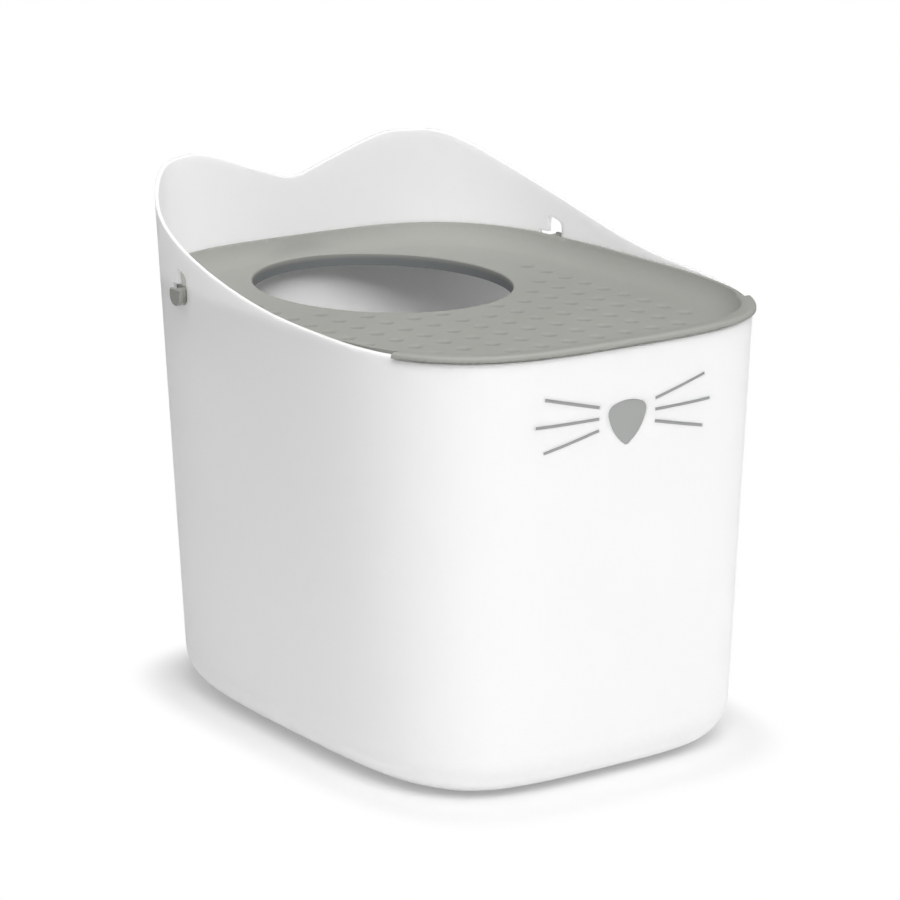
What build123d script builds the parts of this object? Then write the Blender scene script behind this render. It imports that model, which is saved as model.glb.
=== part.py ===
from build123d import *
import os
from math import atan2, copysign, cos, degrees, dist, isclose, pi, radians, sin, tan

os.makedirs("parts", exist_ok=True)

# A top entry litter box: a deep drafted tub with a swept rim that rises into two ears, and a dished
# lid with an oval entry, which hinges on two tabs in slots of the side walls.
# Millimetres. X is the width, Y runs from the front to the back, Z is up, and the floor is Z = 0.

# Tub
half_width = 193.0          # outside, at the front rim
half_depth = 242.9          # outside, at the front rim
side_draft = 3.4            # degrees from upright
end_draft = 2.2             # degrees from upright
squareness_rim = 3.42       # power of the superellipse at the front rim
squareness_base = 3.8       # power of the superellipse at the base
front_rim = 358.0           # height of the front rim
wall = 3.0
floor_thickness = 3.0
base_round = 36.0           # outer radius between the walls and the base
rim_round = 1.0             # rounding of the exposed rim
outline_points = 20         # points that carry the superellipse
knot_power = 0.75           # of the chords between those points, which spaces the knots

# Rim sweep, as shares of the run from the lip notch to the ears and of the rise between them
ear_height = 447.0
trim = 6.0                  # stock above the ears that the rim is cut from
shoulder_step = 3.4         # rise of the rim behind the front lip
ear_run_from_back = 18.0    # from the back of the rim to the start of the ears
rim_start_slope = 0.03      # of the rim where it leaves the lip notch
rim_sweep = [(0.196, 0.051), (0.378, 0.112), (0.586, 0.288), (0.736, 0.480), (0.857, 0.690),
             (0.946, 0.915)]
ear_spread = 95.0           # half distance between the ears
valley_depth = 34.0         # drop of the back rim between the ears
valley_round = 40.0
ear_round = 80.0

# Feet
foot_lift = 2.0             # height of the base above the floor
foot_diameter = 24.0
foot_seat = 1.4             # depth of the recess that holds a foot
foot_chamfer = 1.0
foot_from_edge = 40.0       # from the edge of the flat base

# Lid
lid_top = 364.0
lid_plate = 3.5             # thickness of the rim band
lid_clearance = 0.9         # to the inside of the walls
side_flat_from = 48.0       # straight stretch of each side, where the lid swings up between the walls
side_flat_to = 128.0
lip_run = 69.0              # length of the front lip along Y, from the front of the tub
lip_end_gap = 0.6           # from the ends of the lip to the raised rim
lip_overhang = 2.3          # beyond the outside of the tub
lip_seat = 0.3              # between the seat under the lip and the front rim
lip_shadow_gap = 1.4        # from the front rim to the outer part of the lip
lip_seat_inset = 1.6        # of the seat, inside the outside of the tub
lip_round = 3.0
rim_band = 3.0              # flat band round the dish
front_band_extra = 2.0      # the band is wider along the front lip
dish_depth = 16.5
dish_wall = 2.8
dish_slope = 64.0           # degrees, at the top of the dish
dish_steps = 5              # sections that carry the round between the slope and the dish floor
dish_merge = 0.4            # rise of the dish wall above its slope, into the rim band

# Entry
entry_half_width = 104.0
entry_half_length = 122.0
entry_y = 101.0
collar_drop = 11.0          # below the dish floor
collar_wall = 2.6
entry_round = 1.6
entry_match = 0.001         # share by which an edge may miss the entry ellipse and still belong to it

# Dimples in the dish floor
dimple_pitch = 27.3
dimple_diameter = 15.0
dimple_depth = 2.0
dimple_columns = 5          # on each side of the middle
dimple_rows = 11
dimple_first_row = -192.2
dimple_field_half_width = 152.0
dimple_field_half_length = 203.0
dimple_gap_side = 14.0      # from the entry, across
dimple_gap_end = 7.5        # from the entry, along

# Hinge tabs and their slots
hinge_y = 110.0
hinge_below_top = 5.4       # from the lid top to the hinge axis
neck_radius = 6.3
flange_radius = 8.2
flange_thickness = 3.0
tab_stand_out = 7.5         # of the flange, beyond the outside of the wall
tab_reach_in = 12.0         # root of the tab inside the edge of the lid
tab_chamfer = 0.5
slot_radius = 8.6
slot_rise_share = 0.51      # of the wall above the hinge axis, up to the top of the slot
slot_peak = 3.8             # from the hinge axis back to the top of the slot
slot_front_drop = 9.0       # from the top of the slot down to its straight front edge
slot_back_drop = 3.6        # from the top of the slot down to its straight back edge
slot_peak_slope = 0.35      # of the front of the arch at its top
slot_notch_run = 10.5       # the notch behind the slot
slot_notch_rise = 7.4
slot_notch_drop = 3.6

# Nose and whiskers on the front wall
nose_tip = 279.0
nose_height = 37.2
nose_half_width = 19.4
nose_side_bulge = 4.5
nose_top_bulge = 5.7
nose_tip_round = 4.0
nose_shoulder_round = 8.0
whisker_width = 2.8
whisker_start = 26.8
whisker_middle = 304.2
whiskers = {"upper": (8.9, 50.4, 12.7), "middle": (0.0, 57.6, 0.0), "lower": (-9.3, 50.4, -11.8)}
inlay_recess = 1.8          # depth of the pockets in the wall
inlay_thickness = 1.0
inlay_clearance = 0.12      # round the edge of each inlay

base = foot_lift
top = ear_height + trim
hinge_z = lid_top - hinge_below_top
notch_y = lip_run - half_depth
ample = 4.0 * half_depth


def tub_half_width(z):
    return half_width - tan(radians(side_draft)) * (front_rim - z)


def tub_half_depth(z):
    return half_depth - tan(radians(end_draft)) * (front_rim - z)


def squareness(z):
    share = z / front_rim
    return squareness_rim * share + squareness_base * (1 - share)


def superellipse_point(a, b, power, i):
    across, along = cos(2 * pi * i / outline_points), sin(2 * pi * i / outline_points)
    return copysign(a * abs(across) ** (2 / power), across), copysign(b * abs(along) ** (2 / power), along)


# One set of knots for every outline, so that the walls between two outlines stay true
knots = [0.0]
for i in range(outline_points):
    here = superellipse_point(half_width, half_depth, squareness_rim, i)
    there = superellipse_point(half_width, half_depth, squareness_rim, i + 1)
    knots.append(knots[-1] + dist(here, there) ** knot_power)


def superellipse(a, b, power, z, y=0.0):
    places = [superellipse_point(a, b, power, i) for i in range(outline_points)]
    points = [(across, y + along, z) for across, along in places]
    return Face(Wire([Edge.make_spline(points, periodic=True, parameters=knots)]))


def section(z, grow=0.0):
    return superellipse(tub_half_width(z) + grow, tub_half_depth(z) + grow, squareness(z), z)


def wall_x(y, z, grow=0.0):
    a, b, power = tub_half_width(z) + grow, tub_half_depth(z) + grow, squareness(z)
    return a * (1 - (abs(y) / b) ** power) ** (1 / power)


def drafted(low, grow=0.0, high=top):
    return loft([section(low, grow), section(high, grow)], ruled=True)


def rounded_base(solid, radius):
    return fillet(solid.edges().sort_by(Axis.Z)[0], radius)


def plate(face, thickness):
    return extrude(face, thickness, dir=(0, 0, 1))


# ---- tub ----

def sweep_points():
    low, ear_y = front_rim + shoulder_step, tub_half_depth(ear_height) - ear_run_from_back
    points = []
    for run, rise in [(0, 0)] + rim_sweep + [(1, 1)]:
        points.append((notch_y + run * (ear_y - notch_y), low + rise * (ear_height - low)))
    return points


def rim_height(y):
    points = sweep_points()
    for (y1, z1), (y2, z2) in zip(points, points[1:]):
        if y1 <= y <= y2:
            return z1 + (z2 - z1) * (y - y1) / (y2 - y1)
    return ear_height


def above_side_sweep():
    points = sweep_points()
    with BuildSketch(Plane.YZ) as sketch:
        with BuildLine():
            sweep = Spline(*points, tangents=[(1, rim_start_slope), (1, 0)])
            Polyline(sweep @ 1, (points[-1][0], ample), (-ample, ample), (-ample, front_rim),
                     (notch_y, front_rim), sweep @ 0)
        make_face()
    return extrude(sketch.sketch, ample, both=True)


def above_back_valley():
    low = ear_height - valley_depth
    with BuildSketch(Plane.XZ) as sketch:
        with BuildLine():
            Polyline((-ample, ear_height), (-ear_spread, ear_height), (0, low), (ear_spread, ear_height),
                     (ample, ear_height), (ample, ample), (-ample, ample), close=True)
        make_face()
        fillet(sketch.vertices().sort_by(Axis.Y)[0], valley_round)
        ears = [corner for corner in sketch.vertices() if isclose(abs(corner.X), ear_spread)]
        fillet(ears, ear_round)
    return extrude(sketch.sketch, ample, both=True)


def rim_edges(tub):
    edges = []
    for edge in tub.edges():
        if (edge @ 0.5).Z > front_rim + shoulder_step / 2 and edge.geom_type != GeomType.LINE:
            if edge.length > 2 * wall:
                edges.append(edge)
    return edges


def slot_cutter():
    front, back = hinge_y - slot_radius, hinge_y + slot_radius
    peak_z = hinge_z + slot_rise_share * (rim_height(hinge_y) - hinge_z)
    with BuildSketch(Plane.YZ) as sketch:
        with BuildLine():
            seat = ThreePointArc((front, hinge_z), (hinge_y, hinge_z - slot_radius), (back, hinge_z))
            back_edge = Line(seat @ 1, (back, peak_z - slot_back_drop))
            back_arch = Spline(back_edge @ 1, (hinge_y + slot_peak, peak_z), tangents=[(0, 1), (-1, 0)])
            front_arch = Spline(back_arch @ 1, (front, peak_z - slot_front_drop),
                                tangents=[(-1, -slot_peak_slope), (0, -1)])
            Line(front_arch @ 1, seat @ 0)
        make_face()
        with Locations((hinge_y, hinge_z - slot_notch_drop)):
            Rectangle(slot_radius + slot_notch_run, slot_notch_rise + slot_notch_drop,
                      align=(Align.MIN, Align.MIN))
    return extrude(sketch.sketch, ample, both=True)


def make_tub():
    outside = rounded_base(drafted(base), base_round)
    inside = drafted(base + floor_thickness, -wall, top + wall)
    tub = outside - rounded_base(inside, base_round - wall)
    tub -= above_side_sweep()
    tub -= above_back_valley()
    tub = fillet(rim_edges(tub), rim_round)
    foot_recess = Cylinder(foot_diameter / 2, 2 * foot_seat)
    return tub - [slot_cutter()] - [Pos(x, y, base) * foot_recess for x, y in foot_places.values()]


# ---- feet ----

flat_half_width = tub_half_width(base) - base_round
flat_half_depth = tub_half_depth(base) - base_round
foot_places = {}
for end, y in (("front", -1), ("back", 1)):
    for side, x in (("left", -1), ("right", 1)):
        place = (x * (flat_half_width - foot_from_edge), y * (flat_half_depth - foot_from_edge))
        foot_places[end + "_" + side] = place


def make_foot(x, y):
    foot = Pos(x, y) * extrude(Circle(foot_diameter / 2), foot_lift + foot_seat)
    return chamfer(foot.edges().group_by(Axis.Z)[0], foot_chamfer)


# ---- nose and whiskers ----

def front_skin(outer_grow, inner_grow):
    front = Box(half_width, half_depth, front_rim, align=(Align.CENTER, Align.CENTER, Align.MIN))
    return (drafted(base, outer_grow) & Pos(0, -half_depth, 0) * front) - drafted(base, inner_grow)


def nose_sketch(shrink):
    shoulder = nose_tip + nose_height - nose_top_bulge
    tip, left, right = (0, nose_tip), (-nose_half_width, shoulder), (nose_half_width, shoulder)
    with BuildSketch(Plane.XZ) as sketch:
        with BuildLine():
            SagittaArc(tip, right, -nose_side_bulge)
            SagittaArc(right, left, -nose_top_bulge)
            SagittaArc(left, tip, -nose_side_bulge)
        make_face()
        fillet(sketch.vertices().sort_by(Axis.Y)[0], nose_tip_round)
        fillet(sketch.vertices().sort_by(Axis.Y)[-2:], nose_shoulder_round)
        if shrink:
            offset(amount=-shrink)
    return sketch.sketch


def whisker_sketch(side, lift, run, rise, shrink):
    start = Vector(side * whisker_start, whisker_middle + lift)
    end = start + Vector(side * run, rise)
    with BuildSketch(Plane.XZ) as sketch:
        with Locations(Location((start + end) * 0.5, (0, 0, degrees(atan2(rise, side * run))))):
            Rectangle((end - start).length - 2 * shrink, whisker_width - 2 * shrink)
    return sketch.sketch


def motif_sketches(shrink):
    sketches = {"nose": nose_sketch(shrink)}
    for name, (lift, run, rise) in whiskers.items():
        for side_name, side in (("left", -1), ("right", 1)):
            sketches["whisker_" + name + "_" + side_name] = whisker_sketch(side, lift, run, rise, shrink)
    return sketches


def prism(sketch):
    return extrude(sketch, ample, dir=(0, -1, 0))


# ---- lid ----

def lid_outline(z, inset=0.0, front_extra=0.0):
    grow = -wall - lid_clearance - inset
    a = tub_half_width(lid_top) + grow
    b = tub_half_depth(lid_top) + grow - front_extra / 2
    return superellipse(a, b, squareness(lid_top), z, front_extra / 2)


def dish(grow, rise):
    slope = radians(dish_slope)
    radius = dish_depth / (1 - cos(slope))
    sections = []
    for step in range(dish_steps + 1):
        angle = slope * step / dish_steps
        inset = rim_band + radius * (sin(slope) - sin(angle)) - grow * sin(angle)
        z = lid_top - dish_depth + radius * (1 - cos(angle)) - grow * cos(angle)
        sections.append(lid_outline(z, inset, front_band_extra))
    sections.append(lid_outline(z + rise, inset - rise / tan(slope), front_band_extra))
    return loft(sections)


def lip_plate(grow, low, high):
    a, b = tub_half_width(front_rim) + grow, tub_half_depth(front_rim) + grow
    return plate(superellipse(a, b, squareness(front_rim), low), high - low)


def front_lip():
    lip = lip_plate(lip_overhang, front_rim + lip_shadow_gap, lid_top)
    lip = fillet(lip.edges().group_by(Axis.Z)[-1], lip_round)
    lip += lip_plate(-lip_seat_inset, front_rim + lip_seat, lid_top - lid_plate)
    ahead = Box(ample, ample, ample, align=(Align.CENTER, Align.MAX, Align.CENTER))
    return lip & Pos(0, notch_y - lip_end_gap, lid_top) * ahead


def beyond_side_flats():
    edge = -wall - lid_clearance
    front, back = [Vector(wall_x(y, lid_top, edge), y) for y in (side_flat_from, side_flat_to)]
    start, end = front - (back - front) / 2, back + (back - front) / 2
    outline = Polyline(start, end, (ample, end.Y), (ample, start.Y), close=True)
    cutter = Pos(0, 0, lid_top - 2 * lid_plate) * extrude(make_face(outline), 4 * lid_plate)
    return [cutter, mirror(cutter, Plane.YZ)]


def tab_bar(radius, side, start, end):
    with BuildSketch(Plane.YZ) as sketch:
        with Locations((hinge_y, hinge_z)):
            Circle(radius)
        with Locations((hinge_y, lid_top)):
            Rectangle(ample, 2 * radius, align=(Align.CENTER, Align.MIN), mode=Mode.SUBTRACT)
    return Pos(side * start, 0, 0) * extrude(sketch.sketch, side * (end - start))


def hinge_tabs():
    root = wall_x(hinge_y, hinge_z, -wall - lid_clearance) - tab_reach_in
    end = wall_x(hinge_y, hinge_z) + tab_stand_out
    tabs = []
    for side in (-1, 1):
        flange = tab_bar(flange_radius, side, end - flange_thickness, end)
        tabs.append(chamfer(flange.edges().group_by(Axis.X)[-1 if side > 0 else 0], tab_chamfer))
        tabs.append(tab_bar(neck_radius, side, root, end - flange_thickness / 2))
    return tabs


def entry_plug(grow, low, high):
    oval = Ellipse(entry_half_width + grow, entry_half_length + grow)
    return Pos(0, entry_y, low) * extrude(oval, high - low)


def entry_edges(lid):
    edges = []
    for edge in lid.edges():
        middle = edge @ 0.5
        across, along = middle.X / entry_half_width, (middle.Y - entry_y) / entry_half_length
        on_entry = isclose(across ** 2 + along ** 2, 1, rel_tol=entry_match)
        if on_entry and middle.Z > lid_top - dish_depth - dish_wall:
            edges.append(edge)
    return edges


def dimple_columns_at(y):
    side_reach, end_reach = entry_half_width + dimple_gap_side, entry_half_length + dimple_gap_end
    columns = []
    for column in range(-dimple_columns, dimple_columns + 1):
        x = column * dimple_pitch
        across, along = abs(x) / dimple_field_half_width, abs(y) / dimple_field_half_length
        inside_field = across ** squareness_rim + along ** squareness_rim < 1
        clear_of_entry = (x / side_reach) ** 2 + ((y - entry_y) / end_reach) ** 2 > 1
        if inside_field and clear_of_entry:
            columns.append(x)
    return columns


def make_lid():
    floor_z = lid_top - dish_depth
    collar_z = floor_z - collar_drop
    lid = plate(lid_outline(lid_top - lid_plate), lid_plate)
    lid += dish(dish_wall, dish_merge)
    lid -= beyond_side_flats()
    lid += front_lip()
    for tab in hinge_tabs():
        lid += tab
    lid += entry_plug(collar_wall, collar_z, lid_top)
    lid -= dish(0, lid_plate)
    lid -= entry_plug(0, collar_z - dish_wall, lid_top)
    lid = fillet(entry_edges(lid), entry_round)
    ball_radius = (dimple_diameter ** 2 / 4 + dimple_depth ** 2) / (2 * dimple_depth)
    ball = Pos(0, 0, floor_z + ball_radius - dimple_depth) * Sphere(ball_radius)
    for row in range(dimple_rows):
        y = dimple_first_row + row * dimple_pitch
        columns = dimple_columns_at(y)
        if columns:
            lid -= [Pos(x, y, 0) * ball for x in columns]
    return lid


tub = make_tub()
pocket_skin = front_skin(wall, -inlay_recess)
inlay_skin = front_skin(inlay_thickness - inlay_recess, -inlay_recess)
tub -= [pocket_skin & prism(sketch) for sketch in motif_sketches(0).values()]
export_step(tub, "parts/tub.step")

for name, sketch in motif_sketches(inlay_clearance).items():
    export_step(inlay_skin & prism(sketch), "parts/" + name + ".step")

for name, (x, y) in foot_places.items():
    export_step(make_foot(x, y), "parts/foot_" + name + ".step")

export_step(make_lid(), "parts/lid.step")
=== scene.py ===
import math
import bmesh
import bpy
from mathutils import Matrix, Vector


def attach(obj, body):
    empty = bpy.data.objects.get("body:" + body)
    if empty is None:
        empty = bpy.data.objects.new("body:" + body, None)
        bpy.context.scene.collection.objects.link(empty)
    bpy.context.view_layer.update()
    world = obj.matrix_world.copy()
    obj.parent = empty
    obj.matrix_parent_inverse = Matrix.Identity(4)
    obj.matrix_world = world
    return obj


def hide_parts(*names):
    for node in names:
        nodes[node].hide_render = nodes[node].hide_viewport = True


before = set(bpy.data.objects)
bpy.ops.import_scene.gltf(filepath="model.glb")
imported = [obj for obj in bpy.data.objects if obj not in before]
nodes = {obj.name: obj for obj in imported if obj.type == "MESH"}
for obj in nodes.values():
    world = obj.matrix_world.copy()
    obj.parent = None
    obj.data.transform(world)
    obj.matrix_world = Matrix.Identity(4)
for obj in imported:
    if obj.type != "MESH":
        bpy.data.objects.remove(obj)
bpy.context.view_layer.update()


def linear(red, green, blue):  # an 8-bit screen colour as the shader's own linear colour
    def one(value):
        share = value / 255
        return share / 12.92 if share <= 0.04045 else ((share + 0.055) / 1.055) ** 2.4
    return (one(red), one(green), one(blue), 1.0)


class Wire:  # one output socket; + - * / ** add Math nodes
    def __init__(self, board, socket):
        self.board = board
        self.socket = socket

    def math(self, operation, first, second):
        return self.board.node("ShaderNodeMath", {"operation": operation}, {0: first, 1: second})

    def __add__(self, other):
        return self.math("ADD", self, other)

    def __sub__(self, other):
        return self.math("SUBTRACT", self, other)

    def __mul__(self, other):
        return self.math("MULTIPLY", self, other)

    def __truediv__(self, other):
        return self.math("DIVIDE", self, other)

    def __radd__(self, other):
        return self.math("ADD", other, self)

    def __rsub__(self, other):
        return self.math("SUBTRACT", other, self)

    def __rmul__(self, other):
        return self.math("MULTIPLY", other, self)

    def __rtruediv__(self, other):
        return self.math("DIVIDE", other, self)

    def __pow__(self, other):
        return self.math("POWER", self, other)


class Board:  # the node tree of one material or world
    def __init__(self, owner):
        owner.use_nodes = True
        self.tree = owner.node_tree
        self.tree.nodes.clear()

    def node(self, kind, settings=None, sockets=None, out=0):
        made = self.tree.nodes.new(kind)
        for name, value in (settings or {}).items():
            setattr(made, name, value)
        for key, value in (sockets or {}).items():
            if isinstance(value, Wire):
                self.tree.links.new(value.socket, made.inputs[key])
            else:
                made.inputs[key].default_value = value
        return Wire(self, made.outputs[out]) if made.outputs else made

    def ramp(self, value, start, end):  # 0 below start, 1 above end, smooth between
        return self.node("ShaderNodeMapRange", {"interpolation_type": "SMOOTHSTEP"},
                         {"Value": value, "From Min": start, "From Max": end})

    def place(self):  # the place on the object, and its x, y and z
        spot = self.node("ShaderNodeTexCoord", {}, {}, "Object")
        parts = [self.node("ShaderNodeSeparateXYZ", {}, {0: spot}, axis) for axis in "XYZ"]
        return spot, *parts

    def absolute(self, value):
        return self.node("ShaderNodeMath", {"operation": "ABSOLUTE"}, {0: value})

    def noise(self, spot, scale, detail, rough=0.5):
        return self.node("ShaderNodeTexNoise", {},
                         {"Vector": spot, "Scale": scale, "Detail": detail, "Roughness": rough})

    def blend(self, share, first, second):  # two colours
        return self.node("ShaderNodeMix", {"data_type": "RGBA"}, {0: share, 6: first, 7: second}, 2)

    def bump(self, height, strength, depth, under=None):
        sockets = {"Height": height, "Strength": strength, "Distance": depth}
        if under:
            sockets["Normal"] = under
        return self.node("ShaderNodeBump", {}, sockets)

    def surface(self, sockets):
        skin = self.node("ShaderNodeBsdfPrincipled", {}, sockets)
        self.node("ShaderNodeOutputMaterial", {}, {"Surface": skin})


def dress(names, material):
    for name in names:
        slots = nodes[name].data.materials
        slots.clear()
        slots.append(material)


# What all the plastics and the rubber share: the noise behind the clouds and the grain
skinNoise = {"cloudDetail": 3.0, "grainDetail": 2.0, "grainHarshness": 0.6, "middle": 0.5, "ior": 1.49}


def mouldedSkin(board, spot, look):  # clouds, grain, and the roughness that they give
    cloud = board.noise(spot, look["cloudScale"], skinNoise["cloudDetail"])
    grain = board.noise(spot, look["grainScale"], skinNoise["grainDetail"], skinNoise["grainHarshness"])
    cloudy = (cloud - skinNoise["middle"]) * look["roughSpread"]
    grainy = (grain - skinNoise["middle"]) * look["grainRough"]
    return cloud, grain, look["roughness"] + cloudy + grainy


# White satin polypropylene: faint clouds in the colour, an orange-peel skin, a fine grain,
# and scuffs that thicken towards the base. Some light goes through it.
tubLook = {
    "colourLow": linear(242, 243, 242), "colourHigh": linear(247, 248, 248), "cloudScale": 5.0,
    "scuffColour": linear(232, 232, 230), "scuffTop": 0.09, "scuffShare": 0.35, "scuffScale": 160.0,
    "scuffDetail": 4.0, "scuffHarshness": 0.7, "scuffRough": 0.1,
    "peelScale": 90.0, "peelDetail": 1.0, "peelStrength": 0.4, "peelDepth": 0.00006,
    "grainScale": 1500.0, "grainStrength": 0.6, "grainDepth": 0.00003,
    "roughness": 0.46, "roughSpread": 0.08, "grainRough": 0.06,
    "glowThrough": 1.0, "glowReach": 0.009,
}


def tubPlastic(look):
    material = bpy.data.materials.new("white satin plastic")
    board = Board(material)
    spot, x, y, z = board.place()
    cloud, grain, roughness = mouldedSkin(board, spot, look)
    peel = board.noise(spot, look["peelScale"], look["peelDetail"])
    marks = board.noise(spot, look["scuffScale"], look["scuffDetail"], look["scuffHarshness"])
    scuff = (1 - board.ramp(z, 0.0, look["scuffTop"])) * marks
    clean = board.blend(cloud, look["colourLow"], look["colourHigh"])
    colour = board.blend(scuff * look["scuffShare"], clean, look["scuffColour"])
    fine = board.bump(grain, look["grainStrength"], look["grainDepth"])
    board.surface({
        "Base Color": colour, "Roughness": roughness + scuff * look["scuffRough"],
        "Normal": board.bump(peel, look["peelStrength"], look["peelDepth"], fine),
        "IOR": skinNoise["ior"], "Subsurface Weight": look["glowThrough"],
        "Subsurface Radius": (1.0, 1.0, 1.0), "Subsurface Scale": look["glowReach"],
    })
    return material


# The lid keeps its moulded form, but its dish runs level to the edge of the entry, its dimples are
# a little deeper, and the ends of its tabs have straight sides
lidForm = {
    "floor": 0.3475, "depth": 0.0165, "slopeDegrees": 64.0, "band": 0.003, "plate": 0.0035,  # the dish
    "halfWidth": 0.18946, "halfLength": 0.23823, "middleY": 0.001, "power": 3.41,  # its outline on top
    "entryY": 0.101, "entryHalfWidth": 0.104, "entryHalfLength": 0.122, "levelTo": 1.10,
    "behindFrom": 0.08, "behindHalfWidth": 0.09,  # the part behind the entry that gets finer faces
    "dimpleDepth": 0.0021, "dimpleGain": 1.3, "dimplesFrom": 0.034, "dimplesOutside": 1.03,
    "hingeY": 0.110, "hingeZ": 0.3586, "tabRadius": 0.0082, "tabThickness": 0.0031,
    "weld": 0.00002, "finest": 0.004, "splits": 4, "halvings": 24, "past": 0.01, "sharpDegrees": 32.0,
}


def insetAt(x, y, form):  # how far a place lies inside the outline of the dish
    low, high = 0.0, form["dimplesFrom"] + form["past"]
    for halving in range(form["halvings"]):
        middle = (low + high) / 2
        across = abs(x) / (form["halfWidth"] - middle)
        along = abs(y - form["middleY"]) / (form["halfLength"] - middle)
        if across ** form["power"] + along ** form["power"] < 1:
            low = middle
        else:
            high = middle
    return low


def riseAt(inset, form):  # height of the dish above its floor
    slope = math.radians(form["slopeDegrees"])
    radius = form["depth"] / (1 - math.cos(slope))
    wholeRun = radius * math.sin(slope)
    run = min(max(wholeRun - (inset - form["band"]), 0.0), wholeRun)
    return radius - math.sqrt(radius ** 2 - run ** 2)


def smooth(value):  # 0 below 0, 1 above 1, smooth between
    share = min(max(value, 0.0), 1.0)
    return share * share * (3 - 2 * share)


def squareTab(vert, form):  # the end of a hinge tab is round below and has straight sides above
    up = vert.co.z - form["hingeZ"]
    if 0 < up < form["tabRadius"]:
        widen = form["tabRadius"] / math.sqrt(form["tabRadius"] ** 2 - up ** 2)
        vert.co.y = form["hingeY"] + (vert.co.y - form["hingeY"]) * widen


def levelDish(vert, form):  # and deepen its dimples
    place = vert.co
    across = place.x / form["entryHalfWidth"]
    along = (place.y - form["entryY"]) / form["entryHalfLength"]
    reach = math.hypot(across, along)
    inset = insetAt(place.x, place.y, form)
    if reach < form["levelTo"]:
        level = 1 - smooth((reach - 1) / (form["levelTo"] - 1))
        place.z -= riseAt(inset, form) * level
    deep = form["floor"] - place.z
    inField = inset > form["dimplesFrom"] and reach > form["dimplesOutside"]
    if inField and 0 < deep < form["dimpleDepth"]:
        place.z = form["floor"] - deep * form["dimpleGain"]


def makeLidShell(form):
    shell = bmesh.new()
    shell.from_mesh(nodes["lid"].data)
    bmesh.ops.remove_doubles(shell, verts=shell.verts, dist=form["weld"])
    under = form["floor"] - form["plate"]
    behindY = form["entryY"] + form["behindFrom"]

    def isBehind(place):
        return place.y > behindY and abs(place.x) < form["behindHalfWidth"] and place.z > under

    for split in range(form["splits"]):
        long = [edge for edge in shell.edges
                if all(isBehind(vert.co) for vert in edge.verts) and edge.calc_length() > form["finest"]]
        if long:
            bmesh.ops.subdivide_edges(shell, edges=long, cuts=1, use_grid_fill=True)
            bmesh.ops.triangulate(shell, faces=shell.faces)
    farOut = max(vert.co.x for vert in shell.verts) - form["tabThickness"]
    for vert in shell.verts:
        if abs(vert.co.x) > farOut:
            squareTab(vert, form)
        elif vert.co.z >= under:
            levelDish(vert, form)
    mesh = bpy.data.meshes.new("lidShell")
    shell.to_mesh(mesh)
    shell.free()
    mesh.shade_smooth()
    mesh.set_sharp_from_angle(angle=math.radians(form["sharpDegrees"]))
    lid = bpy.data.objects.new("lidShell", mesh)
    bpy.context.scene.collection.objects.link(lid)
    flatter = lid.modifiers.new("level", "WEIGHTED_NORMAL")  # the floor between the dimples shades flat
    flatter.keep_sharp = True
    finished = lid.evaluated_get(bpy.context.evaluated_depsgraph_get())
    lid.data = bpy.data.meshes.new_from_object(finished)
    lid.modifiers.clear()
    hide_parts("lid")
    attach(lid, "lid")
    return lid


lidShell = makeLidShell(lidForm)
print("lid shell:", len(lidShell.data.polygons), "faces")


# Warm grey polypropylene: a matt grain, faint clouds, painted shade in the dimples, and painted shade
# down the walls of the entry
lidLook = {
    "colourLow": linear(138, 139, 134), "colourHigh": linear(145, 146, 141), "cloudScale": 9.0,
    "collarPaintedShade": linear(112, 115, 116), "collarTop": 0.346, "collarBlend": 0.004,
    "entryFrom": 1.01, "entryTo": 1.03,  # the edge of the entry, as a share of its half axes, squared
    "dimplePaintedShade": linear(116, 117, 114), "dimpleShade": 0.75, "flatBlend": 0.0001,
    "shadeFrom": 0.0002, "shadeTo": 0.0022, "shadeFades": 0.00265, "shadeEnds": 0.0027,  # depths
    "grainScale": 1200.0, "grainStrength": 0.7, "grainDepth": 0.00005,
    "roughness": 0.62, "roughSpread": 0.08, "grainRough": 0.08, "shine": 0.35,
}


def lidPlastic(look, form):
    material = bpy.data.materials.new("warm grey plastic")
    board = Board(material)
    spot, x, y, z = board.place()
    cloud, grain, roughness = mouldedSkin(board, spot, look)
    across, along = x / form["entryHalfWidth"], (y - form["entryY"]) / form["entryHalfLength"]
    inEntry = 1 - board.ramp(across * across + along * along, look["entryFrom"], look["entryTo"])
    # painted shade: the walls of the entry below the collar top are darkened in colour
    below = 1 - board.ramp(z, look["collarTop"] - look["collarBlend"], look["collarTop"])
    deep = form["floor"] - z
    aboveUnderside = 1 - board.ramp(deep, look["shadeFades"], look["shadeEnds"])
    inDimple = board.ramp(deep, look["shadeFrom"], look["shadeTo"]) * aboveUnderside
    belowFloor = 1 - board.ramp(z, form["floor"] - look["flatBlend"], form["floor"])
    # painted shade: the dimples darken with their depth below the dish floor
    shade = inDimple * belowFloor * look["dimpleShade"] * (1 - inEntry)
    colour = board.blend(cloud, look["colourLow"], look["colourHigh"])
    colour = board.blend(shade, colour, look["dimplePaintedShade"])
    colour = board.blend(inEntry * below, colour, look["collarPaintedShade"])
    board.surface({
        "Base Color": colour, "Roughness": roughness, "IOR": skinNoise["ior"],
        "Specular IOR Level": look["shine"],
        "Normal": board.bump(grain, look["grainStrength"], look["grainDepth"]),
    })
    return material


# Grey inlays of the face: a slightly smoother grain
inlayLook = {
    "colourLow": linear(146, 148, 146), "colourHigh": linear(151, 153, 151),
    "cloudScale": 30.0, "grainScale": 1600.0, "grainStrength": 0.6, "grainDepth": 0.00003,
    "roughness": 0.5, "roughSpread": 0.06, "grainRough": 0.06,
}

# Soft dark rubber of the feet
footLook = {
    "colourLow": linear(96, 97, 96), "colourHigh": linear(108, 109, 108),
    "cloudScale": 60.0, "grainScale": 900.0, "grainStrength": 0.6, "grainDepth": 0.0001,
    "roughness": 0.8, "roughSpread": 0.1, "grainRough": 0.1,
}


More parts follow.
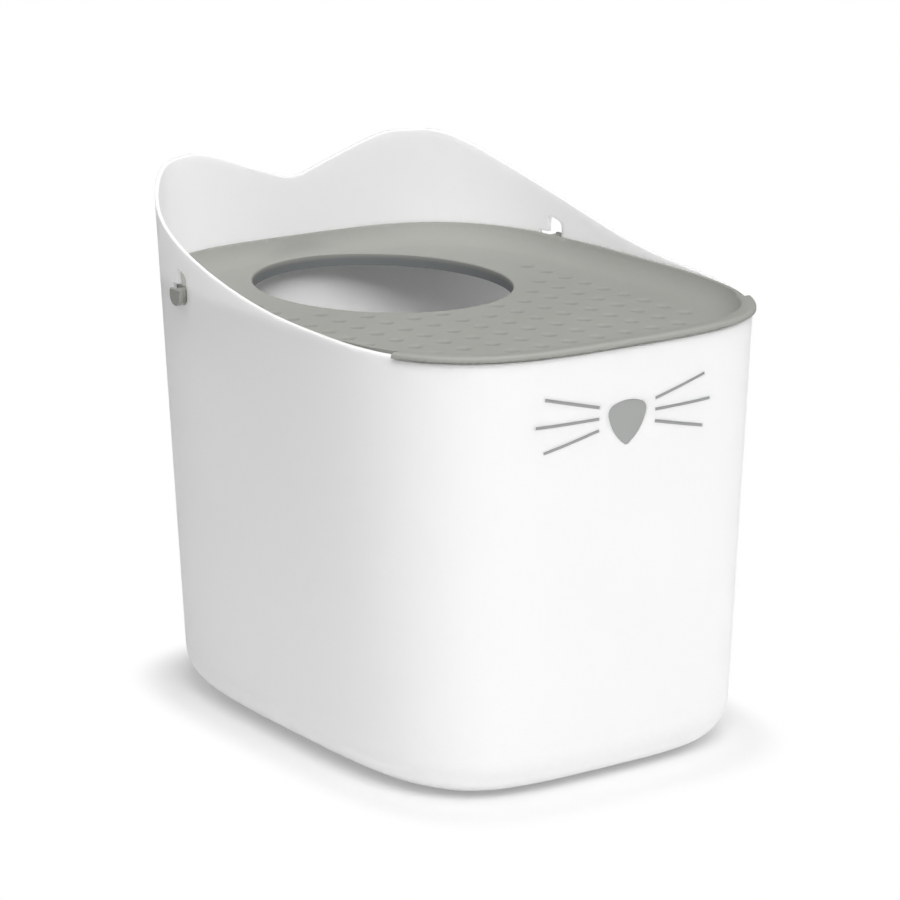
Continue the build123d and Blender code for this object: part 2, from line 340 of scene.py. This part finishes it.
def plainPlastic(name, look):
    material = bpy.data.materials.new(name)
    board = Board(material)
    spot = board.place()[0]
    cloud, grain, roughness = mouldedSkin(board, spot, look)
    board.surface({
        "Base Color": board.blend(cloud, look["colourLow"], look["colourHigh"]),
        "Roughness": roughness, "IOR": skinNoise["ior"],
        "Normal": board.bump(grain, look["grainStrength"], look["grainDepth"]),
    })
    return material


dress(["tub"], tubPlastic(tubLook))
lidMaterial = lidPlastic(lidLook, lidForm)
dress(["lid"], lidMaterial)
lidShell.data.materials.append(lidMaterial)
faceNodes = [name for name in nodes if name.startswith(("nose", "whisker"))]
footNodes = [name for name in nodes if name.startswith("foot")]
dress(faceNodes, plainPlastic("grey inlay", inlayLook))
dress(footNodes, plainPlastic("dark rubber", footLook))
print("finishes on", len(nodes), "nodes")

# The floor shows its lit soft shadow near the object, with a grey glow for the camera there that is
# painted shade round the base, and turns plain white away from it for the camera
floorLook = {
    "halfWidth": 30.0, "colour": linear(248, 248, 248), "white": (1.0, 1.0, 1.0, 1.0),
    "nearShadeGrey": (0.66, 0.66, 0.66, 1.0), "nearShare": 0.52,
    "baseHalfWidth": 0.172, "baseHalfLength": 0.229, "power": 3.8,  # the outline of the base
    "whiteFrom": 0.99, "whiteTo": 1.24,  # as shares of that outline
}


def whiteGround(look):
    material = bpy.data.materials.new("white ground")
    board = Board(material)
    spot, x, y, z = board.place()
    across = board.absolute(x) / look["baseHalfWidth"]
    along = board.absolute(y) / look["baseHalfLength"]
    reach = (across ** look["power"] + along ** look["power"]) ** (1 / look["power"])
    camera = board.node("ShaderNodeLightPath", {}, {}, "Is Camera Ray")
    away = board.ramp(reach, look["whiteFrom"], look["whiteTo"])
    share = look["nearShare"] + away * (1 - look["nearShare"])
    lit = board.node("ShaderNodeBsdfDiffuse", {}, {"Color": look["colour"]})
    # painted shade: the camera glow is grey near the base outline and white further out
    shade = board.blend(away, look["nearShadeGrey"], look["white"])
    glow = board.node("ShaderNodeEmission", {}, {"Color": shade, "Strength": 1.0})
    both = board.node("ShaderNodeMixShader", {}, {0: camera * share, 1: lit, 2: glow})
    board.node("ShaderNodeOutputMaterial", {}, {"Surface": both})
    return material


def makeFloor(look):
    reach = look["halfWidth"]
    mesh = bpy.data.meshes.new("floor")
    corners = [(-reach, -reach, 0), (reach, -reach, 0), (reach, reach, 0), (-reach, reach, 0)]
    mesh.from_pydata(corners, [], [(0, 1, 2, 3)])
    mesh.materials.append(whiteGround(look))
    floor = bpy.data.objects.new("floor", mesh)
    bpy.context.scene.collection.objects.link(floor)


makeFloor(floorLook)

skyLook = {"colour": (1.0, 1.0, 1.0, 1.0)}


def makeSky(look):  # white for the camera, and no light on the object
    world = bpy.data.worlds.new("studio")
    bpy.context.scene.world = world
    board = Board(world)
    camera = board.node("ShaderNodeLightPath", {}, {}, "Is Camera Ray")
    sky = board.node("ShaderNodeBackground", {}, {"Color": look["colour"], "Strength": camera})
    board.node("ShaderNodeOutputWorld", {}, {"Surface": sky})


makeSky(skyLook)

# Each lamp: degrees round from the front (to the right is plus), degrees up, and watts
lampLooks = {
    "key": (-20, 50, 92.0), "fill": (20, 50, 7.0), "top": (0, 89, 33.0),
    "right": (75, 18, 21.5), "back": (-120, 50, 16.5),
}
lampLook = {"distance": 3.0, "size": 1.8, "aim": (0.0, 0.0, 0.22)}


def makeLamp(name, around, up, power, look):
    light = bpy.data.lights.new(name, "AREA")
    light.shape = "SQUARE"
    light.size = look["size"]
    light.energy = power
    turn, rise = math.radians(around), math.radians(up)
    level = math.cos(rise)
    towards = Vector((math.sin(turn) * level, -math.cos(turn) * level, math.sin(rise)))
    lamp = bpy.data.objects.new(name, light)
    lamp.location = Vector(look["aim"]) + towards * look["distance"]
    lamp.rotation_mode = "QUATERNION"
    lamp.rotation_quaternion = (-towards).to_track_quat("-Z", "Y")
    bpy.context.scene.collection.objects.link(lamp)


for lampName, (around, up, power) in lampLooks.items():
    makeLamp(lampName, around, up, power, lampLook)

cameraLook = {
    "lens": 148.69, "sensor": 36.0, "place": (-1.68967, -2.44905, 1.01963),
    "target": (-0.00038, 0.00026, 0.22283), "rollDegrees": -0.11, "nearest": 0.05, "farthest": 200.0,
}


def makeCamera(look):
    data = bpy.data.cameras.new("camera")
    data.lens = look["lens"]
    data.sensor_width = look["sensor"]
    data.clip_start = look["nearest"]
    data.clip_end = look["farthest"]
    camera = bpy.data.objects.new("camera", data)
    away = Vector(look["target"]) - Vector(look["place"])
    turn = away.to_track_quat("-Z", "Y").to_matrix().to_4x4()
    roll = Matrix.Rotation(math.radians(look["rollDegrees"]), 4, "Z")
    camera.matrix_world = Matrix.Translation(look["place"]) @ turn @ roll
    bpy.context.scene.collection.objects.link(camera)
    bpy.context.scene.camera = camera


makeCamera(cameraLook)
bpy.context.scene.view_settings.view_transform = "Standard"
print("floor, lights and camera set")
